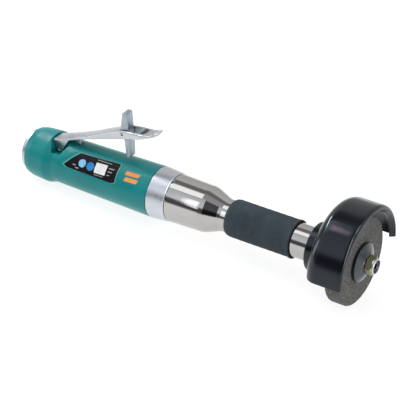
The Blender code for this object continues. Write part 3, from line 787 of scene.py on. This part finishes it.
def lever_section(station):
    """One closed cross-section of the lever, as (y, height) points."""
    half = lever_half_width(station)
    low = lever_edge(station)
    top = lever_top(station, half, half)
    solid = soft_step(station, WEB_START, WEB_START + 2.0)
    channel = min(CHANNEL_HALF, half * 0.68)
    ceiling = (TOP_LINE(station) - SHEET) * (1 - solid) + (low + 0.12) * solid
    ceiling = max(ceiling, low + 0.12)
    corner = min(CORNER, 0.45 * (top - low), 0.5 * half)
    rim = min(0.7, 0.3 * (top - low), 0.45 * (half - channel), ceiling - low - 0.02)
    rim = max(rim, 0.03)
    right = []
    for i in range(5):
        y = (half - corner) * i / 4
        right.append((y, lever_top(station, y, half)))
    shoulder = lever_top(station, half - corner, half)
    right += arc((half - corner, shoulder - corner), corner, 90.0, 0.0, 6)[1:]
    right += [(half, shoulder - corner + (low + rim - shoulder + corner) * i / 3) for i in (1, 2)]
    right += arc((half - rim, low + rim), rim, 0.0, -90.0, 4)
    right += arc((channel + rim, low + rim), rim, -90.0, -180.0, 4)
    bend = min(1.0, 0.4 * (ceiling - low))
    right += arc((channel - bend, ceiling - bend), bend, 0.0, 90.0, 4)
    right += [((channel - bend) * (1 - i / 2), ceiling) for i in (1, 2)]
    left = [(-y, height) for y, height in reversed(right[1:-1])]
    return right + left


def make_lever():
    stations = []
    for start, end, step in ((LEVER_REAR, -284.0, 0.35), (-284.0, -210.0, 1.0), (-210.0, LEVER_TIP, 0.3)):
        stations += [start + step * i for i in range(int((end - start) / step))]
    stations.append(LEVER_TIP)
    verts = []
    faces = []
    for number, station in enumerate(stations):
        section = lever_section(station)
        count = len(section)
        base = number * count
        verts += [spot(station, y, height) for y, height in section]
        if number:
            faces += [[base - count + i, base - count + (i + 1) % count, base + (i + 1) % count, base + i]
                      for i in range(count)]
    faces += [list(range(count)), list(range(len(verts) - count, len(verts)))]
    lever = mesh_piece("throttle_paddle", verts, faces)
    slot = [
        (SLOT_REAR, -CHANNEL_HALF), (SLOT_FRONT, -CHANNEL_HALF), (SLOT_FRONT, CHANNEL_HALF),
        (SLOT_REAR, CHANNEL_HALF),
    ]
    ramp = [
        (SLOT_REAR, 70.0), (SLOT_REAR, 40.0), (WEB_START, 40.0), (WEB_START + 2.0, 48.8), (SLOT_FRONT, 53.8),
        (SLOT_FRONT, 70.0),
    ]
    pivot_bore = [
        (30.0, 0.0), (30.0, 2.4), (7.0, 2.4), (6.4, 1.8), (-6.4, 1.8), (-7.0, 2.4), (-30.0, 2.4),
        (-30.0, 0.0),
    ]
    well = slab("well", rounded(slot, 2.2), 40.0, 70.0, "plan")
    cut(well, slab("ramp", ramp, -10.0, 10.0), operation="INTERSECT")
    cut(
        lever,
        well,
        lathe("pivot_bore", pivot_bore, 40, crosswise_at(PIVOT)),
        lathe("lock_bore", rod(LOCK_BORE), 32, crosswise_at(LOCK)),
    )
    finish_piece(lever, "cast_aluminium", "lever", "throttle_lever", crease=40.0)

    for name, at, body, half, tip, radius, bevel, steps in (
        ("lever", PIVOT, "tool_body", 7.2, 1.0, 1.5, 0.15, 40),
        ("lock", LOCK, "lever", 7.0, 0.8, 1.1, 0.1, 32),
    ):
        pin = [(half, 0.0), (half, tip), (half - 0.3, radius), (0.3 - half, radius), (-half, tip), (-half, 0.0)]
        made = lathe(name + "_hinge_pin", rounded(pin, bevel, closed=False), steps, crosswise_at(at))
        finish_piece(made, "ground_steel", body, name + "_pin")


# ---- lock lever

LOCK_HALF_WIDTH = 4.3


def coil(name, radius, wire, turns, start, end, place, per_turn=32, around_wire=10):
    """An open spring: a round wire swept along a helix, closed at both ends."""
    count = int(turns * per_turn)
    verts = []
    faces = []
    for i in range(count + 1):
        turn = 2 * math.pi * i / per_turn
        depth = start + (end - start) * i / count
        for j in range(around_wire):
            angle = 2 * math.pi * j / around_wire
            reach = radius + 0.5 * wire * math.cos(angle)
            level = depth + 0.5 * wire * math.sin(angle)
            verts.append(place(level, reach * math.cos(turn), reach * math.sin(turn)))
        if i:
            base = (i - 1) * around_wire
            for j in range(around_wire):
                k = (j + 1) % around_wire
                faces.append([base + j, base + k, base + around_wire + k, base + around_wire + j])
    faces += [list(range(around_wire)), list(range(len(verts) - around_wire, len(verts)))]
    return mesh_piece(name, verts, faces)


def make_lock():
    front = [(-225.6, 68.9), (-224.9, 62.0), (-224.4, 55.0), (-224.0, 47.0), (-223.6, 40.0), (-223.4, 30.0)]
    foot = [(-223.5, 27.6), (-224.2, 26.5), (-225.4, 26.2), (-226.9, 26.2), (-227.8, 26.9)]
    rear = [(-228.0, 33.0), (-228.4, 40.0), (-229.5, 45.2)]
    hub = arc(LOCK, 3.2, -125.0, -200.0, 5)
    upper = [(-232.3, 54.6), (-231.4, 62.0), (-230.6, 68.2), (-229.8, 69.3), (-226.6, 69.3)]
    outline = rounded(front + foot + rear + hub + upper, 0.8, steps=3)
    lock = slab("lock_paddle", outline, -LOCK_HALF_WIDTH, LOCK_HALF_WIDTH, "side", 0.55)
    groove = [(-232.9, 57.5), (-231.5, 57.5), (-230.6, 66.5), (-232.9, 66.5)]
    cut(
        lock,
        lathe("bore", rod(LOCK_BORE), 32, crosswise_at(LOCK)),
        lathe("pocket", ring(1.0, 30.0, 0.0, 3.5), 48, crosswise_at(LOCK)),
        slab("thumb_hollow", rounded(groove, 0.4), -2.9, 2.9, "side", 0.3),
    )
    finish_piece(lock, "zinc_lock", "lock", "lock_lever", crease=38.0)
    spring = coil("lock_torsion_spring", 2.35, 0.7, 3, 1.7, 4.0, crosswise_at(LOCK))
    finish_piece(spring, "ground_steel", "lever", "lock_spring", crease=50.0)


VALVE_SPRING = (-8.2, 4.9)


def make_valve_spring():
    """The return spring under the valve stem. In the tool it shortens as the lever goes down; here it is made at
    one length.
    """
    low, high = VALVE_SPRING
    spring = coil("valve_return_spring", 3.0, 0.8, 5, low, high, upright_at(VALVE_STATION))
    finish_piece(spring, "ground_steel", "tool_body", "valve_spring", crease=50.0)
    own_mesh(spring)


# ---- clamp ring, nose and grip

def make_nose():
    ring = [
        (-178.3, 17.8), (-178.3, 21.2), (-178.9, 21.8), (-195.1, 23.1), (-195.7, 22.7), (-195.7, 17.8),
    ]
    clamp = lathe("clamp_collar", dense(rounded(ring, 0.25), 2.0), 200)
    finish_piece(clamp, "satin_aluminium", "tool_body", "clamp_ring")

    body = [
        (-62.2, 11.6), (-62.2, 13.9), (-62.7, 14.4), (-126.8, 14.4), (-129.6, 15.0), (-141.2, 19.5),
        (-144.8, 20.4), (-177.4, 21.4), (-178.0, 20.9), (-178.0, 17.4), (-196.8, 17.4), (-196.8, 14.5),
        (-178.0, 14.5), (-172.0, 11.6), (-129.0, 11.6), (-129.0, 9.2), (-84.0, 9.2), (-84.0, 11.6),
    ]
    nose = lathe("nose_housing", dense(rounded(body, 1.6, steps=6), 2.5), 200)
    finish_piece(nose, "polished_steel", "tool_body", "extension_housing")

    cap = [
        (-27.6, 8.2), (-27.6, 13.6), (-42.0, 13.6), (-42.0, 14.3), (-42.5, 14.8), (-58.4, 14.8),
        (-58.4, 14.2), (-61.9, 14.2), (-61.9, 8.2),
    ]
    made = lathe("nose_cap", dense(rounded(cap, 0.3), 2.0), 160)
    finish_piece(made, "polished_steel", "tool_body", "bearing_cap")

    sleeve = [
        (-58.8, 14.7), (-58.8, 16.2), (-59.3, 16.8), (-60.6, 16.8), (-61.6, 16.2), (-63.0, 16.3),
        (-118.0, 16.4), (-120.4, 15.9), (-121.6, 15.1), (-121.8, 14.7),
    ]

    def handled(station, radius, angle):
        """Moulded rubber: faint waves where it was pulled on."""
        if radius < 15.0:
            return 0.0
        wave = 0.05 * math.sin(station * 0.9 + 2.0 * math.sin(angle))
        return wave + 0.04 * math.sin(3 * angle + station * 0.11)

    grip = lathe("grip_cover", dense(rounded(sleeve, 0.8), 1.2), 160, None, handled)
    finish_piece(grip, "slate_rubber", "tool_body", "grip_sleeve")


# ---- spindle end

WHEEL_REAR, WHEEL_FRONT = span("grinding_wheel")
WHEEL_RADIUS = outer_radius("grinding_wheel")
ARBOR = 4.7625
ARBOR_CLEAR = ARBOR + 0.34
NUT_REAR, NUT_FRONT = span("wheel_nut")
NUT_RADIUS = 8.25
SOCKET_RADIUS = 2.9


def hexagon(radius):
    return arc((0.0, 0.0), radius, 0.0, 300.0, 5)


def grit(station, radius, angle):
    """Uneven wear of the bonded wheel: a slightly chipped rim and coarse faces."""
    point = Vector((station * 0.9, radius * math.cos(angle), radius * math.sin(angle)))
    rough = noise.noise(point * 0.9) + 0.6 * noise.noise(point * 2.1)
    if radius > WHEEL_RADIUS - 0.8:
        return min(0.0, 0.16 * rough - 0.1)
    return 0.0


def make_wheel():
    rim = 1.1
    outline = ring(WHEEL_REAR, WHEEL_FRONT, ARBOR_CLEAR, WHEEL_RADIUS)
    wheel = lathe("abrasive_wheel", dense(rounded(outline, rim), 0.8), 320, None, grit)
    for vert in wheel.data.vertices:
        station = station_of(vert.co.x)
        out = math.hypot(vert.co.y, vert.co.z - AXIS_Z) / MM
        sunk = 0.1 * (1 + noise.noise(vert.co * 1100.0)) * soft_step(out, 18.0, 20.0)
        side = -1 if station > 0.5 * (WHEEL_FRONT + WHEEL_REAR) else 1
        if out < WHEEL_RADIUS - rim:
            vert.co.x += side * sunk * MM
    finish_piece(wheel, "abrasive", "spindle_set", "grinding_wheel")

    front = span("outer_flange")[1]
    outline = [
        (front, ARBOR_CLEAR), (front, 9.2), (front - 0.5, 9.8), (3.6, 15.6), (2.9, 16.7), (0.3, 16.7),
        (0.3, ARBOR_CLEAR),
    ]
    flange = lathe("front_flange", dense(rounded(outline, 0.35), 1.5), 160)
    finish_piece(flange, "faced", "spindle_set", "outer_flange")


def make_nut():
    nut = slab("lock_nut", rounded(hexagon(NUT_RADIUS), 0.4), NUT_REAR, NUT_FRONT, "end")
    chamfer = [
        (NUT_FRONT + 1.0, 0.0), (NUT_FRONT + 1.0, 6.5), (NUT_FRONT, 6.6), (NUT_FRONT - 0.3, 6.9),
        (12.9, 7.2), (12.5, 7.5), (11.6, 9.0), (NUT_REAR + 0.8, 9.0), (NUT_REAR, 7.9), (2.0, 7.9), (2.0, 0.0),
    ]
    cut(nut, lathe("chamfer", chamfer, 96), operation="INTERSECT")
    bore = [
        (30.0, 0.0), (30.0, 5.7), (NUT_FRONT - 0.4, 5.7), (NUT_FRONT - 1.0, ARBOR_CLEAR),
        (-10.0, ARBOR_CLEAR), (-10.0, 0.0),
    ]
    cut(nut, lathe("bore", bore, 96))
    finish_piece(nut, "yellow_zinc", "spindle_set", "wheel_nut", crease=28.0)
    nut.data.materials.append(LOOKS["satin_aluminium"])
    nut.data.materials.append(LOOKS["burnished"])
    # The front face takes the satin look. The bore's walls take the dark burnished look: painted shade inside the
    # nut.
    for face in nut.data.polygons:
        corners = [nut.data.vertices[v].co for v in face.vertices]
        if max(math.hypot(corner.y, corner.z - AXIS_Z) for corner in corners) < 5.8 * MM:
            face.material_index = 2
        elif station_of(face.center.x) > NUT_FRONT - 0.45:
            face.material_index = 1

    shaft = [
        (13.4, 0.0), (13.4, 3.9), (12.8, ARBOR), (-17.3, ARBOR), (-17.3, 6.5), (-64.9, 6.5), (-64.9, 5.0),
        (-185.9, 5.0), (-185.9, 0.0),
    ]
    spindle = lathe("drive_spindle", rounded(shaft, 0.3, closed=False), 96)
    mouth = [(13.9, 0.0), (13.9, SOCKET_RADIUS + 0.5), (13.0, SOCKET_RADIUS - 0.35), (12.0, 0.0)]
    cut(spindle, slab("socket", hexagon(SOCKET_RADIUS), 7.5, 20.0, "end"), lathe("mouth", mouth, 48))
    finish_piece(spindle, "burnished", "spindle_set", "spindle")


# ---- guard

GUARD_CUT = 1.3
GUARD_WALL = 1.8
HUB_RADIUS = 21.0
LIP_RADIUS = 43.0
RIM_CORNER = 3.2
BACK_CORNER = 11.0


def make_guard():
    """A dome with a thick front rim, bevelled inwards, over a clamping hub."""
    reach = outer_radius("guard")
    rim_center = (4.0, reach - RIM_CORNER)
    back_center = (-15.8, reach - BACK_CORNER)
    back = back_center[0] - BACK_CORNER
    hub = rounded([
        (back, back_center[1]), (back, HUB_RADIUS), (-41.7, HUB_RADIUS), (-41.7, 13.9),
        (back + GUARD_WALL, 13.9), (back + GUARD_WALL, back_center[1]),
    ], 0.9, closed=False, steps=6)
    lip = rounded([
        (-8.0, reach - GUARD_WALL), (1.0, reach - GUARD_WALL), (2.7, LIP_RADIUS), (3.6, LIP_RADIUS),
        (rim_center[0] + RIM_CORNER, rim_center[1] - 0.4),
    ], 0.5, closed=False, steps=4)
    outline = (
        arc(rim_center, RIM_CORNER, 4.0, 90.0, 10)
        + arc(back_center, BACK_CORNER, 90.0, 176.0, 20)
        + hub
        + arc(back_center, BACK_CORNER - GUARD_WALL, 176.0, 90.0, 16)
        + lip
    )
    guard = lathe("wheel_guard", dense(outline, 3.0), 240)
    keep = HUB_RADIUS + 0.5
    rise = math.degrees(math.asin(GUARD_CUT / keep))
    below = [(60.0, GUARD_CUT), (60.0, -60.0), (-60.0, -60.0), (-60.0, GUARD_CUT)]
    below += arc((0.0, 0.0), keep, -180.0 - rise, rise, 40)
    hole = [(-10.0, 0.0), (-10.0, 2.8), (-20.2, 2.8), (-21.4, 3.6), (-30.0, 3.6), (-30.0, 0.0)]
    screw_station = 0.5 * sum(span("guard_set_screw"))
    cut(guard, slab("opening", below, -50.0, 20.0, "end"),
        lathe("screw_hole", hole, 40, upright_at(screw_station)))
    finish_piece(guard, "black_enamel", "guard_set", "guard")


# ---- the rest of the frame

def dress_frame():
    """Inner parts keep their CAD shape and take the look of their record slot."""
    slots = {sub["node"]: sub["material_slot"] for sub in frame["record"]["subparts"]}
    for name, node in frame["nodes"].items():
        node.data.materials.clear()
        node.data.materials.append(LOOKS[slots[name]])


# ---- stage

FLOOR_SIZE = 8.0
WALL_RADIUS = 3.8
WALL_LOW, WALL_HIGH = -0.5, 1.5
FLOOR_DROP = 0.0002
FLOOR_GLOW = 0.84
WHEEL_REST = along(-6.0)
COLLAR_REST = along(-307.5)
TARGET = Vector((0.01287, 0.0, 0.03857))
CAMERA_AZIMUTH = math.radians(32.905)
CAMERA_ELEVATION = math.radians(32.41)
CAMERA_DISTANCE = 1.35
CAMERA_LENS = 138.06
CAMERA_SENSOR = 36.0
DAYLIGHT = (0.85, 0.95, 1.0)


def make_floor():
    """A pale table touching the wheel's rim and the handle's collar."""
    tilt = (AXIS_Z - COLLAR_RADIUS * MM) / (WHEEL_REST - COLLAR_REST)
    half = 0.5 * FLOOR_SIZE
    corners = ((-half, -half), (half, -half), (half, half), (-half, half))
    verts = [(x, y, (WHEEL_REST - x) * tilt - FLOOR_DROP) for x, y in corners]
    mesh = bpy.data.meshes.new("table")
    mesh.from_pydata(verts, [], [(0, 1, 2, 3)])
    floor = new_object("table", mesh)
    n = new_look("look_table")
    mottle = n.remap(n.noise(3.0, 3.0))
    color = n.blend(mottle, (0.28, 0.28, 0.275), (0.3, 0.3, 0.295))
    floor.data.materials.append(n.finish(color, 0.8, Emission_Color=WHITE, Emission_Strength=FLOOR_GLOW))


def make_wall():
    """A white wall far off all round, seen by the camera alone, which closes the horizon."""
    outline = [
        (WALL_LOW, WALL_RADIUS), (WALL_HIGH, WALL_RADIUS), (WALL_HIGH, WALL_RADIUS + 0.1),
        (WALL_LOW, WALL_RADIUS + 0.1),
    ]
    wall = lathe("wall", outline, 96, lambda depth, across, up: (across, up, depth))
    for rays in ("diffuse", "glossy", "transmission", "shadow"):
        setattr(wall, "visible_" + rays, False)
    n = new_look("look_wall")
    color = n.blend(n.noise(0.5), (0.0, 0.0, 0.0), (0.01, 0.01, 0.01))
    wall.data.materials.append(n.finish(color, 1.0, Emission_Color=WHITE, Emission_Strength=1.0))


def direction(azimuth, elevation):
    """A unit vector pointing from the tool: azimuth 0 is the near side, 90 the wheel end."""
    return Vector((math.sin(azimuth) * math.cos(elevation), -math.cos(azimuth) * math.cos(elevation),
                   math.sin(elevation)))


def aim(item, place, target):
    item.location = place
    item.rotation_euler = (Vector(target) - Vector(place)).to_track_quat("-Z", "Y").to_euler()


def soft_box(name, azimuth, elevation, distance, width, height, watts, color=WHITE, level=True):
    """A rectangular studio light at angles in degrees round the tool.

    Its width is level, or with level=False its height runs square to the tool's axis.
    """
    lamp = bpy.data.lights.new(name, "AREA")
    lamp.shape = "RECTANGLE"
    lamp.size = width
    lamp.size_y = height
    lamp.energy = watts
    lamp.color = color
    made = new_object(name, lamp)
    made.visible_camera = False
    where = TARGET + direction(math.radians(azimuth), math.radians(elevation)) * distance
    aim(made, where, TARGET)
    if not level:
        away = (where - TARGET).normalized()
        tall = away.cross(Vector((1.0, 0.0, 0.0))).normalized()
        made.rotation_euler = Matrix((tall.cross(away), tall, away)).transposed().to_euler()
    return made


def wrap_round_tool(world, stops):
    """Long soft panels parallel to the tool: brightness by angle round the X axis.

    Angles run from the far horizon (0) over the top (90) to the near horizon (180).
    A dark flag hangs in front of the near panels, ahead of the tool's middle.
    """
    n = Nodes(world, "Background", "Generated")
    split = n.add("ShaderNodeSeparateXYZ", {"Vector": n.coords})
    share = n.maths("DIVIDE", n.maths("ARCTAN2", split.outputs["Z"], split.outputs["Y"]), math.pi)

    def step(value, low, high):
        return n.remap(value, low, high, interpolation_type="SMOOTHSTEP")

    ahead = step(split.outputs["X"], 0.05, 0.16)
    ahead = n.maths("MULTIPLY", ahead, n.maths("SUBTRACT", 1.0, step(split.outputs["X"], 0.5, 0.65)))
    flag = n.maths("MULTIPLY", ahead, step(share, 0.58, 0.64))
    n.put(n.shader, "Color", n.ramp(share, [(degrees / 180.0, color) for degrees, color in stops]))
    n.put(n.shader, "Strength", n.maths("SUBTRACT", 1.0, n.maths("MULTIPLY", flag, 0.88)))


def make_studio():
    scene = bpy.context.scene
    scene.view_settings.view_transform = "Standard"
    scene.world = bpy.data.worlds.new("studio")
    wrap_round_tool(scene.world, [
        (0.0, (0.6, 0.6, 0.6)), (54.0, (0.84, 0.83, 0.81)), (63.0, (0.26, 0.25, 0.24)),
        (76.0, (0.24, 0.24, 0.24)), (86.0, (0.5, 0.51, 0.54)), (104.0, (0.5, 0.52, 0.56)),
        (116.0, (0.85, 0.9, 0.94)), (148.0, (1.0, 1.07, 1.12)), (157.0, (0.12, 0.12, 0.13)),
        (173.0, (0.09, 0.09, 0.095)), (180.0, (0.5, 0.5, 0.5)),
    ])
    overhead = soft_box("overhead", 0.0, 85.0, 1.4, 2.2, 0.8, 5.5)
    overhead.visible_glossy = False
    soft_box("handle_strip", -77.0, 61.0, 0.62, 0.42, 0.24, 0.42, level=False)
    soft_box("window", -28.2, 31.0, 0.4, 0.018, 0.22, 0.02, (0.97, 1.0, 1.0), level=False)
    soft_box("collar_card", -102.6, 44.4, 0.72, 0.06, 0.3, 1.4, level=False)
    soft_box("guard_card", -39.0, 75.6, 0.61, 0.035, 0.09, 0.05, (1.0, 0.68, 0.74), level=False)
    front_strip = soft_box("front_strip", 78.0, 20.0, 1.3, 0.26, 1.1, 6.5, DAYLIGHT)
    front_strip.visible_diffuse = False
    front_top = soft_box("front_top", 100.0, 40.0, 1.2, 0.25, 0.4, 2.2, DAYLIGHT)
    front_top.visible_diffuse = False
    soft_box("rear_strip", -74.0, 10.0, 1.3, 0.2, 0.5, 2.0, (0.85, 0.93, 1.0))

    lens = bpy.data.cameras.new("camera")
    lens.lens = CAMERA_LENS
    lens.sensor_width = CAMERA_SENSOR
    lens.clip_start = 0.01
    camera = new_object("camera", lens)
    aim(camera, TARGET + direction(CAMERA_AZIMUTH, CAMERA_ELEVATION) * CAMERA_DISTANCE, TARGET)
    scene.camera = camera


make_handle()
make_label()
make_rear_end()
make_lever()
make_lock()
make_valve_spring()
make_nose()
make_wheel()
make_nut()
make_guard()
dress_frame()
make_floor()
make_wall()
make_studio()
